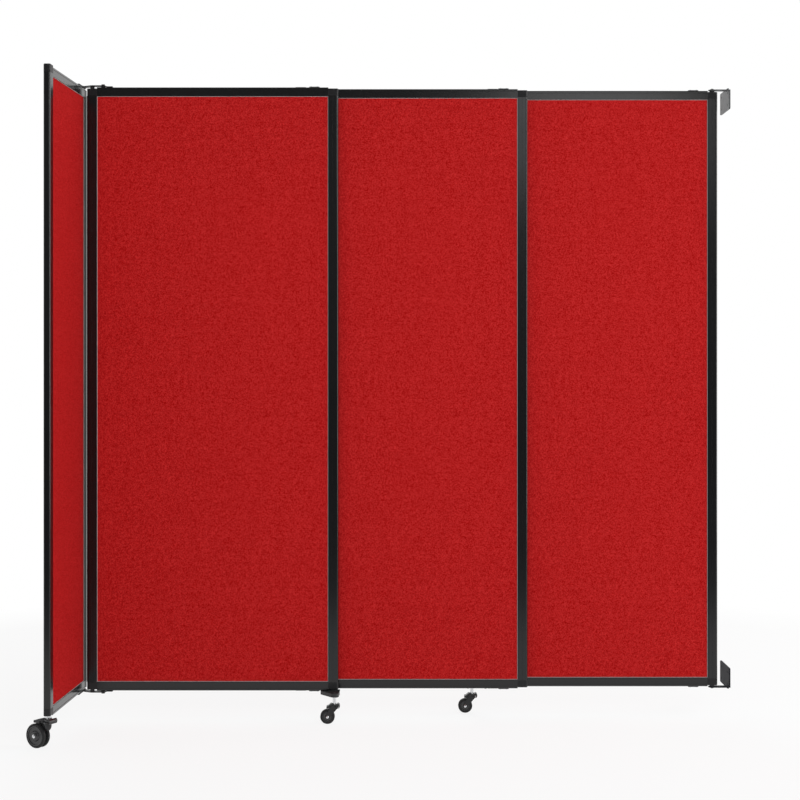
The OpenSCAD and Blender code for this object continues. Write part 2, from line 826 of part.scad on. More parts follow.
module at_rear_caster() {
    in_panel(panels)
        translate([arm_inset, frame_t / 2 + arm_reach, 0])
        rotate([0, 0, rear_turn])
        children();
}

module at_outer_caster() {
    in_end_panel()
        translate([post_mid, 0, 0])
        rotate([0, 0, large_turn - end_fold])
        children();
}

from_floor() wall_bracket();  // wall_bracket_top
union() {  // wall_bracket_bottom
    from_floor() translate([0, 0, 2 * mid_z]) mirror([0, 0, 1]) wall_bracket();
}
from_floor() wall_pivot_pins();

// screw holes in the rails, and the bores in the caps of each panel
function rail_holes(i) = concat(
    i > 1 ? [for (x = left_screws) [x, screw_d]] : [[square_bolt_at, bolt_d], [low_flange_screw, screw_d]],
    [for (x = right_screws) [x, screw_d]]
);
function arm_holes(i) =
    i == 1 ? [[panel_w - arm_screw_at, screw_d]] :
    i == panels ? [[arm_screw_at, screw_d]] : [];
function cap_bores(i) =
    i == 1 ? [bolt_bore, no_bore, bolt_bore, bolt_bore] :
    i == panels ? [no_bore, pin_bore, bolt_bore, pin_bore] :
    [no_bore, no_bore, no_bore, no_bore];

for (i = [1 : panels]) {
    p = str("panel_", i, "_");
    in_panel(i) left_post();
    in_panel(i) from_right(panel_w) left_post();
    in_panel(i) top_rail(panel_w, rail_holes(i));
    union() {
        in_panel(i) bottom_rail(panel_w, concat(rail_holes(i), arm_holes(i)));
    }
    in_panel(i) fabric_board(panel_w);
    in_panel(i) corner_caps(panel_w, cap_bores(i));
    in_panel(i) guide_plates(i);
    in_panel(i) guide_glides(i);
    in_panel(i) panel_screws(i);
}

end_holes = [for (x = end_screws) [x, screw_d]];
end_bores = [no_bore, pin_bore, stem_bore, pin_bore];
in_end_panel() left_post(outer_post_rise);  // end_panel_left_post
in_end_panel() from_right(end_panel_w) left_post();  // end_panel_right_post
in_end_panel() top_rail(end_panel_w, end_holes);  // end_panel_top_rail
in_end_panel() bottom_rail(end_panel_w, end_holes);  // end_panel_bottom_rail
in_end_panel() fabric_board(end_panel_w);  // end_panel_fabric_board
union() {  // end_panel_corner_caps
    in_end_panel() corner_caps(end_panel_w, end_bores, outer_cap_rise, outer_post_rise);
}
in_end_panel() end_hinge_plates();  // end_panel_hinge_plates
in_panel(1) hinge_plates();
in_panel(1) hinge_pins();
union() {  // front_caster_arm
    in_panel(1) translate([panel_w, 0, 0]) rotate([0, 0, 180]) caster_arm();
}
in_panel(panels) caster_arm();  // rear_caster_arm

union() {  // front_caster_stem
    at_front_caster() caster_stem(small, floor_gap - arm_t, floor_gap);
}
at_front_caster() caster_fork(small);  // front_caster_fork
at_front_caster() caster_axle(small);  // front_caster_axle
at_front_caster() wheel_hub(small);  // front_caster_wheel_hub
at_front_caster() tyre(small);  // front_caster_tyre
at_front_caster() brake_rocker(small);  // front_caster_brake_rocker

union() {  // rear_caster_stem
    at_rear_caster() caster_stem(small, floor_gap - arm_t, floor_gap);
}
at_rear_caster() caster_fork(small);  // rear_caster_fork
at_rear_caster() caster_axle(small);  // rear_caster_axle
at_rear_caster() wheel_hub(small);  // rear_caster_wheel_hub
at_rear_caster() tyre(small);  // rear_caster_tyre
at_rear_caster() brake_rocker(small);  // rear_caster_brake_rocker

union() {  // outer_caster_stem
    at_outer_caster() caster_stem(large, floor_gap + cap_drop, floor_gap + cap_drop + stem_in_cap - 1);
}
at_outer_caster() caster_fork(large);  // outer_caster_fork
at_outer_caster() caster_axle(large);  // outer_caster_axle
at_outer_caster() wheel_hub(large);  // outer_caster_wheel_hub
at_outer_caster() tyre(large);  // outer_caster_tyre
at_outer_caster() brake_rocker(large);  // outer_caster_brake_rocker
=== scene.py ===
import math

import bmesh
import bpy
from mathutils import Matrix, Vector, noise


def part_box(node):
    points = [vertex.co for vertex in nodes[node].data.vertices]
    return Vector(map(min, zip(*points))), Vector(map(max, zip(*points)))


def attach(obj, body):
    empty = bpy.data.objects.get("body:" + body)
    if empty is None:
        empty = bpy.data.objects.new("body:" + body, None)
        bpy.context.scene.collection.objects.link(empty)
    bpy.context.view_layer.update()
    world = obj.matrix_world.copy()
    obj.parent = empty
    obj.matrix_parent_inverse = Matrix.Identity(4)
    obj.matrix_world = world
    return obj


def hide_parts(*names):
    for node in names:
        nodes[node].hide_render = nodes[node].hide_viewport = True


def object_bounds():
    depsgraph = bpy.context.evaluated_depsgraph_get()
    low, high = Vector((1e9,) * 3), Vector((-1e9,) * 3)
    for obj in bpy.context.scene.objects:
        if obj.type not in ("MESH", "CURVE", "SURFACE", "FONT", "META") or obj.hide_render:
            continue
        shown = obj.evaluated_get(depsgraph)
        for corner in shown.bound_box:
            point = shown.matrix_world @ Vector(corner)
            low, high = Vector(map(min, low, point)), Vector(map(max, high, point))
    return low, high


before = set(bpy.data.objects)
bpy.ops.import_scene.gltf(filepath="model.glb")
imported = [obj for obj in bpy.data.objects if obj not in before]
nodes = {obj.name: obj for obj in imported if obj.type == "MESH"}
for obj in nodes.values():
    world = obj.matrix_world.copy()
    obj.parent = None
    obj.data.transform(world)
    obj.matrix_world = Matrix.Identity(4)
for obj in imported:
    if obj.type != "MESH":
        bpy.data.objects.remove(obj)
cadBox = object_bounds()
floorHeight = cadBox[0].z

panels = ("panel_1", "panel_2", "panel_3", "end_panel")  # the bodies that hold a fabric board


# camera, level, with the horizon a little above the middle of the picture

cameraValues = {
    "place": (-1.098, -5.4425, 1.061),
    "focal": 72.7,
    "sensor": 36.0,
    "rise": -0.05,
}


def makeCamera(values):
    data = bpy.data.cameras.new("camera")
    data.lens = values["focal"]
    data.sensor_width = values["sensor"]
    data.shift_y = values["rise"]
    camera = bpy.data.objects.new("camera", data)
    camera.location = values["place"]
    camera.rotation_euler = (math.radians(90), 0, 0)
    bpy.context.scene.collection.objects.link(camera)
    bpy.context.scene.camera = camera


makeCamera(cameraValues)
print("camera is set")


# materials

class Wire:  # an output socket, which sums are written with
    def __init__(self, paint, socket):
        self.paint = paint
        self.socket = socket

    def math(self, operation, other=0.0):
        return self.paint.node("ShaderNodeMath", {"operation": operation}, {0: self, 1: other})

    def __add__(self, other):
        return self.math("ADD", other)

    def __sub__(self, other):
        return self.math("SUBTRACT", other)

    def __mul__(self, other):
        return self.math("MULTIPLY", other)

    def __truediv__(self, other):
        return self.math("DIVIDE", other)

    def __rsub__(self, other):
        return self.paint.node("ShaderNodeMath", {"operation": "SUBTRACT"}, {0: other, 1: self})

    def __rtruediv__(self, other):
        return self.paint.node("ShaderNodeMath", {"operation": "DIVIDE"}, {0: other, 1: self})

    __radd__ = __add__
    __rmul__ = __mul__


class Paint:  # the nodes of one material, or of the world
    def __init__(self, owner, coordinates="Object"):
        owner.use_nodes = True
        self.owner = owner
        self.tree = owner.node_tree
        self.tree.nodes.clear()
        self.place = self.node("ShaderNodeTexCoord", output=coordinates)

    def node(self, kind, settings=None, inputs=None, output=0):
        made = self.tree.nodes.new(kind)
        for key, value in (settings or {}).items():
            if key == "stops":
                self.setStops(made.color_ramp, value)
            else:
                setattr(made, key, value)
        for key, value in (inputs or {}).items():
            if isinstance(value, Wire):
                self.tree.links.new(value.socket, made.inputs[key])
            else:
                made.inputs[key].default_value = value
        return Wire(self, made.outputs[output]) if len(made.outputs) else None

    def setStops(self, ramp, stops):
        while len(ramp.elements) < len(stops):
            ramp.elements.new(0.5)
        for element, (at, tone) in zip(ramp.elements, stops):
            element.position = at
            element.color = (tone, tone, tone, 1)

    def ramp(self, factor, *stops):
        return self.node("ShaderNodeValToRGB", {"stops": stops}, {0: factor})

    def noise(self, scale, detail=2.0, stretch=(1, 1, 1)):
        place = self.node(
            "ShaderNodeVectorMath", {"operation": "MULTIPLY"}, {0: self.place, 1: stretch}
        )
        inputs = {"Vector": place, "Scale": scale, "Detail": detail}
        return self.node("ShaderNodeTexNoise", None, inputs)

    def tones(self, x, y, z):  # a tone of its own for each whole number
        cell = self.node("ShaderNodeCombineXYZ", None, {"X": x, "Y": y, "Z": z})
        settings = {"noise_dimensions": "3D"}
        return self.node("ShaderNodeTexWhiteNoise", settings, {"Vector": cell}, "Value")

    def mix(self, factor, first, second):
        return self.node(
            "ShaderNodeMix", {"data_type": "RGBA"}, {0: factor, 6: (*first, 1), 7: (*second, 1)}, 2
        )

    def softEdges(self, radius, samples=6):
        return self.node("ShaderNodeBevel", {"samples": samples}, {"Radius": radius})

    def bump(self, height, depth, normal=None):
        inputs = {"Height": height, "Distance": depth, "Strength": 1.0}
        if normal:
            inputs["Normal"] = normal
        return self.node("ShaderNodeBump", None, inputs)

    def surface(self, inputs):
        shader = self.node("ShaderNodeBsdfPrincipled", None, inputs)
        self.node("ShaderNodeOutputMaterial", None, {"Surface": shader})
        return self.owner


def newPaint(name):
    return Paint(bpy.data.materials.new(name))


frameValues = {
    "dark": (0.0028, 0.0028, 0.0031),
    "light": (0.0055, 0.0055, 0.006),
    "roughness": 0.14,
    "dullRoughness": 0.4,  # what a dull profile's roughness gains
    "uneven": 0.05,        # what lines and clouds add to the roughness
    "specular": 0.46,
    "lineScale": 1300,
    "lineStretch": 0.995,
    "lineDepth": 0.000006,
    "lineShare": 0.7,
    "cloudScale": 9,
    "edge": 0.0004,
}


def extrudedBlack(name, along, dull=0.0):  # lacquered aluminium with drawn lines along the profile
    v = frameValues
    paint = newPaint(name)
    stretch = [1 - v["lineStretch"] * abs(part) for part in along]
    lines = paint.noise(v["lineScale"], stretch=stretch)
    clouds = paint.noise(v["cloudScale"], detail=3.0)
    shade = lines * v["lineShare"] + clouds * (1 - v["lineShare"])
    roughness = v["roughness"] + v["dullRoughness"] * dull
    return paint.surface({
        "Base Color": paint.mix(shade, v["dark"], v["light"]),
        "Roughness": roughness + (lines + clouds) * v["uneven"],
        "Specular IOR Level": v["specular"] * (1 - dull),
        "Normal": paint.bump(lines, v["lineDepth"], paint.softEdges(v["edge"])),
    })


plasticValues = {
    "grain": 900,
    "depth": 0.00004,
    "cloudScale": 60,
    "uneven": 0.12,        # what the clouds add to the roughness
    "edge": 0.0006,
}


def mouldedPlastic(name, dark, light, roughness, specular, **changes):
    v = plasticValues | changes
    paint = newPaint(name)
    inputs = {"Vector": paint.place, "Scale": v["grain"]}
    cells = paint.node("ShaderNodeTexVoronoi", {"feature": "SMOOTH_F1"}, inputs)
    clouds = paint.noise(v["cloudScale"], detail=3.0)
    return paint.surface({
        "Base Color": paint.mix(clouds, dark, light),
        "Roughness": roughness + clouds * v["uneven"],
        "Specular IOR Level": specular,
        "Normal": paint.bump(cells, v["depth"], paint.softEdges(v["edge"])),
    })


coatValues = {
    "peelScale": 420,
    "depth": 0.00008,
    "cloudScale": 35,
    "uneven": 0.14,
    "edge": 0.0007,
}


def powderCoat(name, dark, light, roughness, specular):  # baked paint with a faint orange peel
    v = coatValues
    paint = newPaint(name)
    peel = paint.noise(v["peelScale"])
    clouds = paint.noise(v["cloudScale"], detail=3.0)
    return paint.surface({
        "Base Color": paint.mix(clouds, dark, light),
        "Roughness": roughness + clouds * v["uneven"],
        "Specular IOR Level": specular,
        "Normal": paint.bump(peel, v["depth"], paint.softEdges(v["edge"])),
    })


zincValues = {
    "dark": (0.62, 0.63, 0.64),
    "light": (0.86, 0.87, 0.88),
    "roughness": 0.22,
    "uneven": 0.16,
    "cloudScale": 160,
    "spangleScale": 700,
    "depth": 0.00003,
    "edge": 0.0004,
}


def zincPlate(name):
    v = zincValues
    paint = newPaint(name)
    inputs = {"Vector": paint.place, "Scale": v["spangleScale"]}
    spangle = paint.node("ShaderNodeTexVoronoi", None, inputs, "Distance")
    clouds = paint.noise(v["cloudScale"], detail=3.0)
    return paint.surface({
        "Base Color": paint.mix(clouds, v["dark"], v["light"]),
        "Metallic": 1.0,
        "Roughness": v["roughness"] + clouds * v["uneven"],
        "Normal": paint.bump(spangle, v["depth"], paint.softEdges(v["edge"])),
    })


rubberValues = {
    "dark": (0.010, 0.010, 0.011),
    "light": (0.022, 0.022, 0.022),
    "roughness": 0.62,
    "uneven": 0.2,
    "specular": 0.3,
    "dustScale": 90,
    "poreScale": 1500,
    "depth": 0.00006,
    "edge": 0.0005,
}


def tyreRubber(name):
    v = rubberValues
    paint = newPaint(name)
    dust = paint.noise(v["dustScale"], detail=4.0)
    pores = paint.noise(v["poreScale"])
    return paint.surface({
        "Base Color": paint.mix(dust, v["dark"], v["light"]),
        "Roughness": v["roughness"] + dust * v["uneven"],
        "Specular IOR Level": v["specular"],
        "Normal": paint.bump(pores, v["depth"], paint.softEdges(v["edge"])),
    })


clothValues = {
    "thread": 0.00115,
    "knot": 0.0026,        # size of the weave's darker and lighter spots
    "knotLayer": 7.5,      # keeps their tones apart from the threads'
    "dark": (0.270, 0.0006, 0.0010),
    "light": (0.535, 0.0245, 0.0245),
    "mottleScale": 170,
    "mottleEnds": ((0.36, 0.0), (0.64, 1.0)),
    "slubScale": 40,
    "slubStretch": (1, 1, 0.25),
    "fuzzScale": 4200,
    "roughness": 0.86,
    "roughnessGain": 0.1,
    "specular": 0.04,
    "depth": 0.00025,
    "shares": {"threads": 0.16, "tones": 0.12, "knots": 0.76, "mottle": 0.20, "slubs": 0.06},
    "shift": -0.19,        # what the shares' sum is moved by
    "fuzzShare": 0.35,
    "mottleShare": 0.5,
}


def twillCloth(name):  # a two and two twill, in the piece's own width and height
    v = clothValues
    paint = newPaint(name)
    wide = paint.node("ShaderNodeSeparateXYZ", None, {0: paint.place}, "X")
    high = Wire(paint, wide.socket.node.outputs["Z"])
    width, height = wide / v["thread"], high / v["thread"]
    column, row = width.math("FLOOR"), height.math("FLOOR")
    over = (column + row).math("FLOORED_MODULO", 4.0).math("LESS_THAN", 2.0)
    warp = (width.math("FRACT") * math.pi).math("SINE")
    weft = (height.math("FRACT") * math.pi).math("SINE")
    threads = warp * over + weft * (1 - over)
    mottle = paint.ramp(paint.noise(v["mottleScale"]), *v["mottleEnds"])
    fuzz = paint.noise(v["fuzzScale"])
    knotColumn = (wide / v["knot"]).math("FLOOR")
    knotRow = (high / v["knot"]).math("FLOOR")
    layers = {
        "threads": threads,
        "tones": paint.tones(column * over, row * (1 - over), over),
        "knots": paint.tones(knotColumn, knotRow, v["knotLayer"]),
        "mottle": mottle,
        "slubs": paint.noise(v["slubScale"], detail=3.0, stretch=v["slubStretch"]),
    }
    shade = v["shift"] + sum(layers[layer] * share for layer, share in v["shares"].items())
    relief = threads + fuzz * v["fuzzShare"] + mottle * v["mottleShare"]
    return paint.surface({
        "Base Color": paint.mix(shade, v["dark"], v["light"]),
        "Roughness": v["roughness"] + mottle * v["roughnessGain"],
        "Specular IOR Level": v["specular"],
        "Normal": paint.bump(relief, v["depth"]),
    })


finishes = {
    "post": extrudedBlack("postBlack", along=(0, 0, 1)),
    "rail": extrudedBlack("railBlack", along=(1, 0, 0)),
    "endRail": extrudedBlack("endRailBlack", along=(0, 1, 0)),
    "hingePost": extrudedBlack("hingePostBlack", along=(0, 0, 1), dull=0.8),
    # the hinge strip's dark rubber is painted shade, standing in for the shadow in the gap at the
    # hinge
    "shadowStrip": tyreRubber("shadowStripRubber"),
    "cap": mouldedPlastic(
        "capPlastic", dark=(0.006, 0.006, 0.0065), light=(0.014, 0.014, 0.015),
        roughness=0.38, specular=0.3,
    ),
    "glide": mouldedPlastic(
        "glideNylon", dark=(0.03, 0.03, 0.031), light=(0.05, 0.05, 0.052),
        roughness=0.42, specular=0.4, grain=1400, depth=0.00002,
    ),
    "hub": mouldedPlastic(
        "hubPlastic", dark=(0.010, 0.010, 0.011), light=(0.022, 0.022, 0.023),
        roughness=0.20, specular=0.6,
    ),
    "rocker": mouldedPlastic(
        "rockerPlastic", dark=(0.007, 0.007, 0.0075), light=(0.016, 0.016, 0.017),
        roughness=0.26, specular=0.45,
    ),
    "plate": powderCoat(
        "plateGrey", dark=(0.060, 0.063, 0.065), light=(0.090, 0.093, 0.095),
        roughness=0.34, specular=0.4,
    ),
    # painted shade: the bottom wall bracket is the same grey plate as the top one, made darker and
    # duller as shade
    "shadedPlate": powderCoat(
        "plateGreyPaintedShade", dark=(0.010, 0.010, 0.013), light=(0.018, 0.018, 0.022),
        roughness=0.50, specular=0.08,
    ),
    "hinge": powderCoat(
        "hingeBlack", dark=(0.012, 0.012, 0.013), light=(0.026, 0.026, 0.028),
        roughness=0.36, specular=0.35,
    ),
    "arm": powderCoat(
        "armBlack", dark=(0.016, 0.016, 0.017), light=(0.034, 0.034, 0.036),
        roughness=0.38, specular=0.35,
    ),
    "fork": powderCoat(
        "forkBlack", dark=(0.007, 0.007, 0.0075), light=(0.018, 0.018, 0.019),
        roughness=0.30, specular=0.4,
    ),
    "zinc": zincPlate("zincPlate"),
    "tyre": tyreRubber("tyreRubber"),
    # the bead's light grey is a painted highlight: it stands for the light line along the frame's
    # inner edge, round the cloth
    "bead": mouldedPlastic(
        "beadPaintedHighlightGrey", dark=(0.30, 0.30, 0.30), light=(0.38, 0.38, 0.38),
        roughness=0.40, specular=0.3,
    ),
    "cloth": twillCloth("redCloth"),
}

endings = {  # what the names of the nodes end in, and their finish
    "end_panel_right_post": "hingePost",
    "_post": "post",
    "_rail": "rail",
    "corner_caps": "cap",
    "guide_glides": "glide",
    "guide_plates": "hinge",
    "wheel_hub": "hub",
    "brake_rocker": "rocker",
    "wall_bracket_top": "plate",
    "wall_bracket_bottom": "shadedPlate",
    "hinge_plates": "hinge",
    "hinge_pins": "hinge",
    "caster_arm": "arm",
    "_fork": "fork",
    "_screws": "zinc",
    "pivot_pins": "hinge",
    "_stem": "zinc",
    "_axle": "zinc",
    "_tyre": "tyre",
    "fabric_board": "cloth",
}


def finishOf(name):
    if name.startswith("end_panel") and name.endswith("_rail"):
        return finishes["endRail"]
    return next(finishes[finish] for ending, finish in endings.items() if name.endswith(ending))


for name, piece in nodes.items():
    piece.material_slots[0].material = finishOf(name)
print("materials are on", len(nodes), "frame pieces")


# fabric boards and the bead that holds the cloth in the frame; the bead's light grey is a painted
# highlight along the frame's inner edge

boardValues = {
    "columns": 44,
    "rows": 100,
    "crowding": 0.8,      # how much closer the grid lies at the edges
    "edge": 0.0083,       # half thickness inside the frame
    "rise": 0.0008,       # how much it swells past the bead
    "riseWidth": 0.030,
    "crown": 0.0004,      # further swell of the middle
    "wave": 0.00012,      # slack and pull of the cloth
    "waveLength": 0.16,
    "waveHeight": 0.35,   # how much slower it changes upwards
    "sideShift": 7.3,     # keeps the waves of a board's sides apart
    "panelShift": 11.7,   # and those of the panels
}

beadValues = {
    "profile": (  # inwards from the frame, out from the middle plane
        (0.0, 0.0078), (0.0, 0.0094), (0.0003, 0.0098), (0.00075, 0.0100),
        (0.0012, 0.0098), (0.0015, 0.0094), (0.0015, 0.0078),
    ),
}


def boardPlace(name):  # where a board is: its own axes, and its half sizes
    points = {(round(v.co.x, 5), round(v.co.y, 5)) for v in nodes[name].data.vertices}
    first, *others = [Vector(point) for point in sorted(points)]
    others.sort(key=lambda point: (point - first).length)
    thick, wide, far = others
    low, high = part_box(name)
    along = Vector((*(wide - first).normalized(), 0))
    across = Vector((0, 0, 1)).cross(along)
    centre = (first + far) / 2
    turn = Matrix((along, across, (0, 0, 1))).transposed().to_4x4()
    place = Matrix.Translation((*centre, (low.z + high.z) / 2)) @ turn
    return place, (wide - first).length / 2, (high.z - low.z) / 2


def makePiece(name, vertices, faces, finish, place, body, smooth=False):
    mesh = bpy.data.meshes.new(name)
    mesh.from_pydata(vertices, [], faces)
    mesh.polygons.foreach_set("use_smooth", [smooth] * len(mesh.polygons))
    mesh.materials.append(finish)
    piece = bpy.data.objects.new(name, mesh)
    piece.matrix_world = place
    bpy.context.scene.collection.objects.link(piece)
    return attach(piece, body)


def crowded(count, half, crowding):  # from -half to half, closer at the ends
    shares = [i / count for i in range(count + 1)]
    return [
        half * (2 * share - 1 - crowding * math.sin(2 * math.pi * share) / math.pi)
        for share in shares
    ]


def smoothStep(x):
    x = min(max(x, 0.0), 1.0)
    return x * x * (3 - 2 * x)


def boardHeight(x, z, halfWidth, halfHeight, grip, side, shift):
    v = boardValues
    sideways = smoothStep((halfWidth - abs(x) - grip) / v["riseWidth"])
    upwards = smoothStep((halfHeight - abs(z) - grip) / v["riseWidth"])
    middle = (1 - (x / halfWidth) ** 2) * (1 - (z / halfHeight) ** 2)
    length = v["waveLength"]
    wavePlace = (x / length, side * v["sideShift"] + shift, v["waveHeight"] * z / length)
    wave = noise.noise(Vector(wavePlace))
    return v["edge"] + sideways * upwards * (v["rise"] + v["wave"] * wave) + v["crown"] * middle


def makeBoard(panel, grip, shift):
    v = boardValues
    place, halfWidth, halfHeight = boardPlace(f"{panel}_fabric_board")
    xs = crowded(v["columns"], halfWidth, v["crowding"])
    zs = crowded(v["rows"], halfHeight, v["crowding"])
    vertices, faces = [], []
    for side in (-1, 1):
        for z in zs:
            for x in xs:
                y = side * boardHeight(x, z, halfWidth, halfHeight, grip, side, shift)
                vertices.append((x, y, z))
    across, layer = len(xs), len(xs) * len(zs)
    for row in range(v["rows"]):
        for column in range(v["columns"]):
            a = row * across + column
            front = (a, a + 1, a + 1 + across, a + across)
            faces.append(front)
            faces.append(tuple(layer + corner for corner in reversed(front)))
    rim = list(range(across))
    rim += [row * across + across - 1 for row in range(1, len(zs))]
    rim += [layer - 1 - i for i in range(1, across)]
    rim += [row * across for row in range(len(zs) - 2, 0, -1)]
    for here, there in zip(rim, rim[1:] + rim[:1]):
        faces.append((there, here, here + layer, there + layer))
    board = makePiece(
        f"{panel}_cloth", vertices, faces, finishes["cloth"], place, panel, smooth=True
    )
    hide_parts(f"{panel}_fabric_board")


def makeBeads(panel, grip):
    profile = beadValues["profile"]
    place, halfWidth, halfHeight = boardPlace(f"{panel}_fabric_board")
    vertices, faces = [], []
    for side in (-1, 1):
        start = len(vertices)
        for inwards, out in profile:
            x = halfWidth - grip - inwards
            y = side * out
            z = halfHeight - grip - inwards
            vertices += [(-x, y, -z), (x, y, -z), (x, y, z), (-x, y, z)]
        count = len(profile)
        for i in range(count):
            for corner in range(4):
                here = start + 4 * i
                there = start + 4 * ((i + 1) % count)
                following = (corner + 1) % 4
                face = (here + corner, here + following, there + following, there + corner)
                faces.append(face if side < 0 else tuple(reversed(face)))
    beads = makePiece(f"{panel}_cloth_beads", vertices, faces, finishes["bead"], place, panel)


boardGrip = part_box("panel_1_left_post")[1].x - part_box("panel_1_fabric_board")[0].x
for number, panel in enumerate(panels):
    makeBoard(panel, boardGrip, number * boardValues["panelShift"])
    makeBeads(panel, boardGrip)
print("fabric boards and beads are made")


# dark rubber strip on panel 1's left edge, which closes the gap at the hinge: painted shade, a dark
# piece put in for the shadow in that gap

shadowStripValues = {
    "reach": 0.0030,
    "back": 0.0050,        # its middle, behind the panel's middle plane
    "half": 0.0040,        # half its width
    "foot": 0.0002,        # how deep it sits in the post
    "steps": 10,
}


# the strip is a dark piece put where the hinge gap is only in shadow: painted shade
def makeShadowStrip(values):
    low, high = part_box("panel_1_left_post")
    middle = (low.y + high.y) / 2 + values["back"]
    root = low.x + values["foot"]
    reach = values["reach"] + values["foot"]
    vertices, faces = [], []
    count = values["steps"] + 1
    for z in (low.z, high.z):
        for i in range(count):
            turn = math.pi * i / values["steps"]
            x = root - reach * math.sin(turn)
            y = middle - values["half"] * math.cos(turn)
            vertices.append((x, y, z))
    for i in range(count):
        following = (i + 1) % count
        faces.append((i, following, following + count, i + count))
    faces.append(tuple(reversed(range(count))))
    faces.append(tuple(range(count, 2 * count)))
    here = Matrix.Identity(4)
    shadowStrip = makePiece("panel_1_edge_shadow_strip", vertices, faces, finishes["shadowStrip"], here, "panel_1")


makeShadowStrip(shadowStripValues)
print("edge shadow strip is made")


# casters: a wheel on each side of one leg on the large one, and small forks with no web in front

wheelValues = {  # profiles of radius and distance from the middle, as shares of the wheel's own
    "steps": 72,
    "halfWidth": 0.0155,
    "sharp": 32,           # degrees between faces from which an edge stays sharp
    "tyre": (
        (0.835, 0.345), (0.94, 0.345), (0.978, 0.375), (0.994, 0.44), (1.0, 0.52), (1.0, 0.64),
        (0.990, 0.76), (0.965, 0.87), (0.925, 0.95), (0.875, 0.98), (0.845, 0.97), (0.835, 0.92),
    ),
    "hub": (
        (0.111, 0.335), (0.83, 0.345), (0.83, 0.88), (0.805, 0.955), (0.785, 0.975), (0.735, 0.975),
        (0.712, 0.95), (0.690, 0.80), (0.50, 0.72), (0.44, 0.75), (0.395, 0.92), (0.355, 1.08),
        (0.300, 1.20), (0.250, 1.245), (0.205, 1.255), (0.111, 1.255),
    ),
}

legValues = {  # x ahead of the stem, y to the side, z above the floor
    "half": 0.0046,        # half its thickness
    "top": ((0.0165, 0.0830), (0.0095, 0.0830), (0.0095, 0.0792), (-0.0095, 0.0792)),
    "eye": 0.0088,         # radius round the axle
    "eyeTurn": (140, 320),
    "eyeSteps": 20,
    "sharp": 40,
    "edge": 0.0005,
    "sleeveSteps": 40,
    "sleeve": (            # radius round the stem, and height
        (0.0, 0.0560), (0.0046, 0.0572), (0.0078, 0.0612), (0.0100, 0.0662), (0.0108, 0.0705),
        (0.0108, 0.0800), (0.0120, 0.0812), (0.0120, 0.0824), (0.0088, 0.0824), (0.0088, 0.0792),
        (0.0, 0.0792),
    ),
    "crown": {
        "heights": (0.0820, 0.0850),
        "ends": (-0.0150, 0.0168),
        "half": 0.0195,
        "corner": 0.0075,
        "cornerSteps": 8,
        "bore": 0.0052,
        "step": 0.0015,
    },
    "ear": {
        "x": -0.0060,
        "z": 0.0884,
        "foot": 0.0830,
        "radius": 0.0045,
        "bore": 0.0021,
        "steps": 14,
        "boreSteps": 10,
        "sides": (0.0168, 0.0195),
    },
}


def casterPlace(caster):  # on the floor under the stem, with x ahead and the wheel behind
    low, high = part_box(f"{caster}_caster_stem")
    stem = (low + high) / 2
    low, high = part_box(f"{caster}_caster_axle")
    axle = (low + high) / 2
    turn = math.atan2(stem.y - axle.y, stem.x - axle.x)
    foot = Vector((stem.x, stem.y, floorHeight))
    place = Matrix.Translation(foot) @ Matrix.Rotation(turn, 4, "Z")
    return place, place.inverted() @ axle


def spun(profile, steps, closed):  # a profile of radius and height, turned round z
    count = len(profile)
    vertices, faces = [], []
    for i in range(steps):
        turn = 2 * math.pi * i / steps
        vertices += [(r * math.cos(turn), r * math.sin(turn), h) for r, h in profile]
        here, there = i * count, (i + 1) % steps * count
        for j in range(count if closed else count - 1):
            k = (j + 1) % count
            faces.append((here + j, there + j, there + k, here + k))
    return vertices, faces


def slab(outline, low, high):  # an outline of x and z between two values of y
    count = len(outline)
    vertices = [(x, low, z) for x, z in outline] + [(x, high, z) for x, z in outline]
    faces = [tuple(range(count)), tuple(reversed(range(count, 2 * count)))]
    for i in range(count):
        j = (i + 1) % count
        faces.append((j, i, i + count, j + count))
    return vertices, faces


def finer(outline, step):  # the outline again, with no side longer than the step
    points = []
    for (x, y), (nextX, nextY) in zip(outline, outline[1:] + outline[:1]):
        wide, high = nextX - x, nextY - y
        parts = math.ceil(math.hypot(wide, high) / step)
        points += [(x + wide * i / parts, y + high * i / parts) for i in range(parts)]
    return points


def washer(outline, bore, low, high):  # a flat outline of x and y with a round hole at the middle
    hole = [Vector(point).normalized() * bore for point in outline]
    rings = []
    for z in (low, high):
        rings.append([(x, y, z) for x, y in outline])
        rings.append([(x, y, z) for x, y in hole])
    count = len(outline)
    faces = []
    for a, b in ((0, 1), (1, 3), (3, 2), (2, 0)):  # bottom, bore, top and rim
        for i in range(count):
            j = (i + 1) % count
            faces.append((a * count + i, a * count + j, b * count + j, b * count + i))
    return sum(rings, []), faces


def arc(x, z, radius, start, end, steps):  # from one angle to another, in degrees
    angles = [math.radians(start + (end - start) * i / steps) for i in range(steps + 1)]
    return [(x + radius * math.cos(angle), z + radius * math.sin(angle)) for angle in angles]


def joined(parts):  # several meshes as one
    vertices, faces = [], []
    for points, sides in parts:
        start = len(vertices)
        vertices += points
        faces += [tuple(start + corner for corner in side) for side in sides]
    return vertices, faces


# faces outwards, points that are near each other joined, and smooth but at sharp edges
def makeSolid(name, mesh, finish, place, body, sharp, near=0.00001):
    piece = makePiece(name, *mesh, finish, place, body, smooth=True)
    shape = bmesh.new()
    shape.from_mesh(piece.data)
    bmesh.ops.remove_doubles(shape, verts=shape.verts, dist=near)
    bmesh.ops.recalc_face_normals(shape, faces=shape.faces)
    shape.to_mesh(piece.data)
    shape.free()
    piece.data.set_sharp_from_angle(angle=math.radians(sharp))
    return piece


def roundEdges(piece, width, sharp, segments=2):
    rounding = piece.modifiers.new("edges", "BEVEL")
    rounding.width = width
    rounding.segments = segments
    rounding.limit_method = "ANGLE"
    rounding.angle_limit = math.radians(sharp)


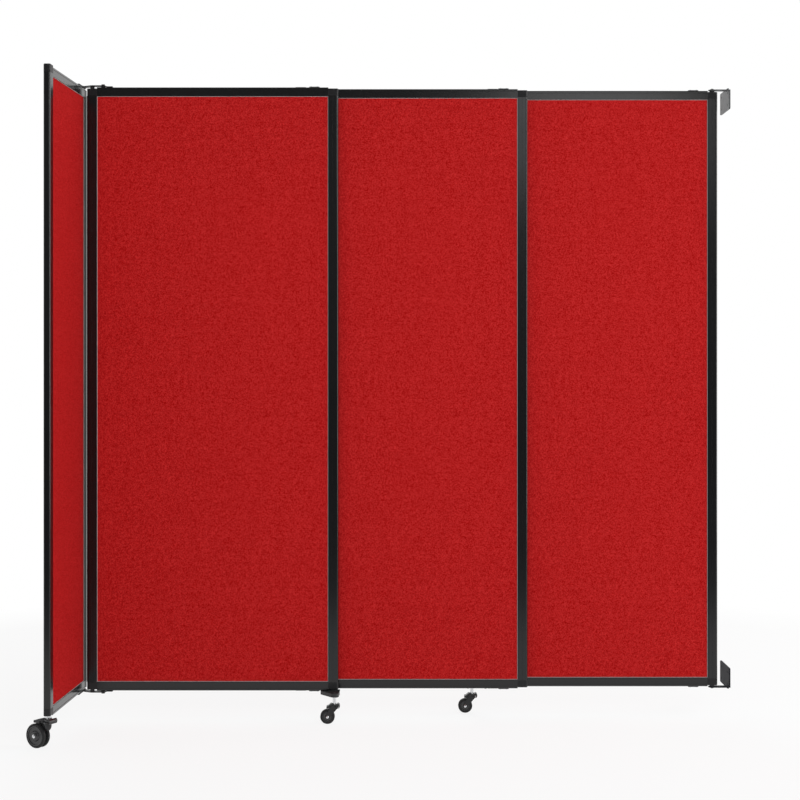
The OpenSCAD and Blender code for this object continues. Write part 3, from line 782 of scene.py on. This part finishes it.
def makeWheels(caster):
    v = wheelValues
    place, axle = casterPlace(caster)
    low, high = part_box(f"{caster}_caster_tyre")
    radius = (high.z - low.z) / 2
    turned = place @ Matrix.Translation(axle) @ Matrix.Rotation(math.radians(90), 4, "X")
    body = f"{caster}_caster_wheel"
    for part, node in (("tyre", f"{caster}_caster_tyre"), ("hub", f"{caster}_caster_wheel_hub")):
        sides = []
        for side in (-v["halfWidth"], v["halfWidth"]):
            profile = [(r * radius, h * side) for r, h in v[part]]
            sides.append(spun(profile, v["steps"], True))
        piece = makeSolid(f"{node}_pair", joined(sides), finishes[part], turned, body, v["sharp"])
        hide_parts(node)


def crownPlate(v):  # a rounded plate with a bore for the stem
    start, end = v["ends"]
    half, corner = v["half"], v["corner"]
    outline = []
    for x, y, turn in (
        (end - corner, half - corner, 0), (start + corner, half - corner, 90),
        (start + corner, corner - half, 180), (end - corner, corner - half, 270),
    ):
        outline += arc(x, y, corner, turn, turn + 90, v["cornerSteps"])
    return washer(finer(outline, v["step"]), v["bore"], *v["heights"])


def ears(v):  # they hold the rocker's trunnions
    x, z, foot = v["x"], v["z"], v["foot"]
    outline = arc(x, z, v["radius"], 0, 180, v["steps"])
    outline += [(x - v["radius"], foot), (x - v["bore"], foot)]
    outline += arc(x, z, v["bore"], 180, 0, v["boreSteps"])
    outline += [(x + v["bore"], foot), (x + v["radius"], foot)]
    inner, outer = v["sides"]
    return [slab(outline, inner, outer), slab(outline, -outer, -inner)]


def makeLeg(caster):  # the large caster's fork: one leg between the wheels, sleeve, crown, ears
    v = legValues
    place, axle = casterPlace(caster)
    outline = list(v["top"]) + arc(axle.x, axle.z, v["eye"], *v["eyeTurn"], v["eyeSteps"])
    parts = [
        slab(outline, -v["half"], v["half"]),
        *ears(v["ear"]),
        crownPlate(v["crown"]),
        spun(v["sleeve"], v["sleeveSteps"], False),
    ]
    fork = f"{caster}_caster_fork"
    name = f"{caster}_caster_leg"
    piece = makeSolid(name, joined(parts), finishes["fork"], place, fork, v["sharp"])
    roundEdges(piece, v["edge"], v["sharp"])
    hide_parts(f"{caster}_caster_fork")


smallForkValues = {
    "webAhead": 0.0090,    # the web lies further ahead of the stem than this
    "webLow": 0.0510,      # and ends at this height above the floor
    "sharp": 30,
}


def makeSmallFork(caster):  # the frame's own fork, with its web cut off below the crown
    v = smallForkValues
    place, axle = casterPlace(caster)
    toCaster = place.inverted()
    fork = f"{caster}_caster_fork"
    source = nodes[fork].data
    vertices = []
    for vertex in source.vertices:
        point = toCaster @ vertex.co
        if point.x > v["webAhead"]:
            point.z = max(point.z, v["webLow"])
        vertices.append(tuple(point))
    mesh = vertices, [tuple(polygon.vertices) for polygon in source.polygons]
    piece = makeSolid(f"{fork}_sheet", mesh, finishes["fork"], place, fork, v["sharp"])
    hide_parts(f"{caster}_caster_fork")


makeWheels("outer")
makeLeg("outer")
makeSmallFork("front")
makeSmallFork("rear")
print("caster pieces are made")


# floor, world and lights

floorValues = {
    "size": 80.0,
    "colour": (0.82, 0.82, 0.82, 1),
    "seenWhite": 0.84,     # share of plain white where the camera sees the floor
    "fadeFrom": 2.5,       # metres from the middle where it turns all white
    "fadeTo": 6.0,
    "darkFrom": 1.6,       # metres in front where gloss sees it turn dark
    "darkTo": 2.6,
    "darkColour": (0.12, 0.12, 0.12, 1),
}

worldValues = {
    "strength": 0.48,
    "frontGloss": 0.17,    # what gloss sees of the world in front of the panels
    "frontEnds": ((0.22, 1.0), (0.46, 0.0)),  # where that fades out, from front to back
}

lampValues = {  # place, width, height, power, what each looks at, and whether gloss shows it
    "keyLamp": ((1.8, -8.0, 3.4), 3.4, 3.4, 190, (-1.1, 0.0, 0.9), False),
    "softBox": ((0.3, -6.1, 2.95), 1.3, 1.3, 14, (-0.8, 0.0, 1.4), True),
    "sideLamp": ((4.5, -0.3, 2.05), 3.3, 4.2, 235, (-2.0, -0.3, 1.3), True),
    "fillLamp": ((-1.6, -8.0, 3.2), 3.0, 3.0, 135, (-1.1, 0.0, 0.9), False),
    "backLamp": ((-2.2, 4.4, 3.2), 3.0, 3.0, 75, (-1.1, 0.0, 0.9), False),
}


def seenByEye(paint):  # 1 for rays from the camera, and in metal or glass
    camera = paint.node("ShaderNodeLightPath", output="Is Camera Ray")
    outputs = camera.socket.node.outputs
    others = [Wire(paint, outputs[kind]) for kind in ("Is Glossy Ray", "Is Transmission Ray")]
    return sum(others, camera).math("MINIMUM", 1.0)


def makeFloor(values):
    mesh = bpy.data.meshes.new("floor")
    half = values["size"] / 2
    corners = [(-half, -half, 0), (half, -half, 0), (half, half, 0), (-half, half, 0)]
    mesh.from_pydata(corners, [], [(0, 1, 2, 3)])
    floor = bpy.data.objects.new("floor", mesh)
    middle = (cadBox[0] + cadBox[1]) / 2
    floor.location = (middle.x, middle.y, floorHeight)
    bpy.context.scene.collection.objects.link(floor)
    paint = newPaint("paleFloor")
    away = paint.node("ShaderNodeVectorMath", {"operation": "LENGTH"}, {0: paint.place}, "Value")
    fade = (away - values["fadeFrom"]) / (values["fadeTo"] - values["fadeFrom"])
    share = (fade.math("MAXIMUM", 0.0) + values["seenWhite"]).math("MINIMUM", 1.0)
    matt = paint.node("ShaderNodeBsdfDiffuse", None, {"Color": values["colour"]})
    white = paint.node("ShaderNodeEmission", None, {"Strength": 1.0})
    both = paint.node("ShaderNodeMixShader", None, {0: share * seenByEye(paint), 1: matt, 2: white})
    back = paint.node("ShaderNodeSeparateXYZ", None, {0: paint.place}, "Y")
    front = (-1 * back - values["darkFrom"]) / (values["darkTo"] - values["darkFrom"])
    inGloss = paint.node("ShaderNodeLightPath", output="Is Glossy Ray")
    dark = paint.node("ShaderNodeBsdfDiffuse", None, {"Color": values["darkColour"]})
    gloss = front.math("MAXIMUM", 0.0).math("MINIMUM", 1.0) * inGloss
    seen = paint.node("ShaderNodeMixShader", None, {0: gloss, 1: both, 2: dark})
    paint.node("ShaderNodeOutputMaterial", None, {"Surface": seen})
    mesh.materials.append(paint.owner)


def makeWorld(values):  # white to the eye, and a dim room in front for gloss
    paint = Paint(bpy.data.worlds.new("studio"), "Generated")
    strength = values["strength"]
    light = strength + seenByEye(paint) * (1 - strength)
    white = (1, 1, 1, 1)
    sky = paint.node("ShaderNodeBackground", None, {"Color": white, "Strength": light})
    gloss = {"Color": white, "Strength": values["frontGloss"]}
    room = paint.node("ShaderNodeBackground", None, gloss)
    back = paint.node("ShaderNodeSeparateXYZ", None, {0: paint.place}, "Y")
    inGloss = paint.node("ShaderNodeLightPath", output="Is Glossy Ray")
    share = paint.ramp(back * 0.5 + 0.5, *values["frontEnds"]) * inGloss
    both = paint.node("ShaderNodeMixShader", None, {0: share, 1: sky, 2: room})
    paint.node("ShaderNodeOutputWorld", None, {"Surface": both})
    bpy.context.scene.world = paint.owner


def makeLamp(name, place, width, height, power, aim, inGloss):
    data = bpy.data.lights.new(name, "AREA")
    data.shape = "RECTANGLE"
    data.size = width
    data.size_y = height
    data.energy = power
    lamp = bpy.data.objects.new(name, data)
    lamp.location = place
    lamp.rotation_euler = (Vector(aim) - Vector(place)).to_track_quat("-Z", "Y").to_euler()
    lamp.visible_camera = False
    lamp.visible_glossy = inGloss
    bpy.context.scene.collection.objects.link(lamp)


makeFloor(floorValues)
makeWorld(worldValues)
for name, lamp in lampValues.items():
    makeLamp(name, *lamp)
bpy.context.scene.view_settings.view_transform = "Standard"
print("floor, world and lamps are set")
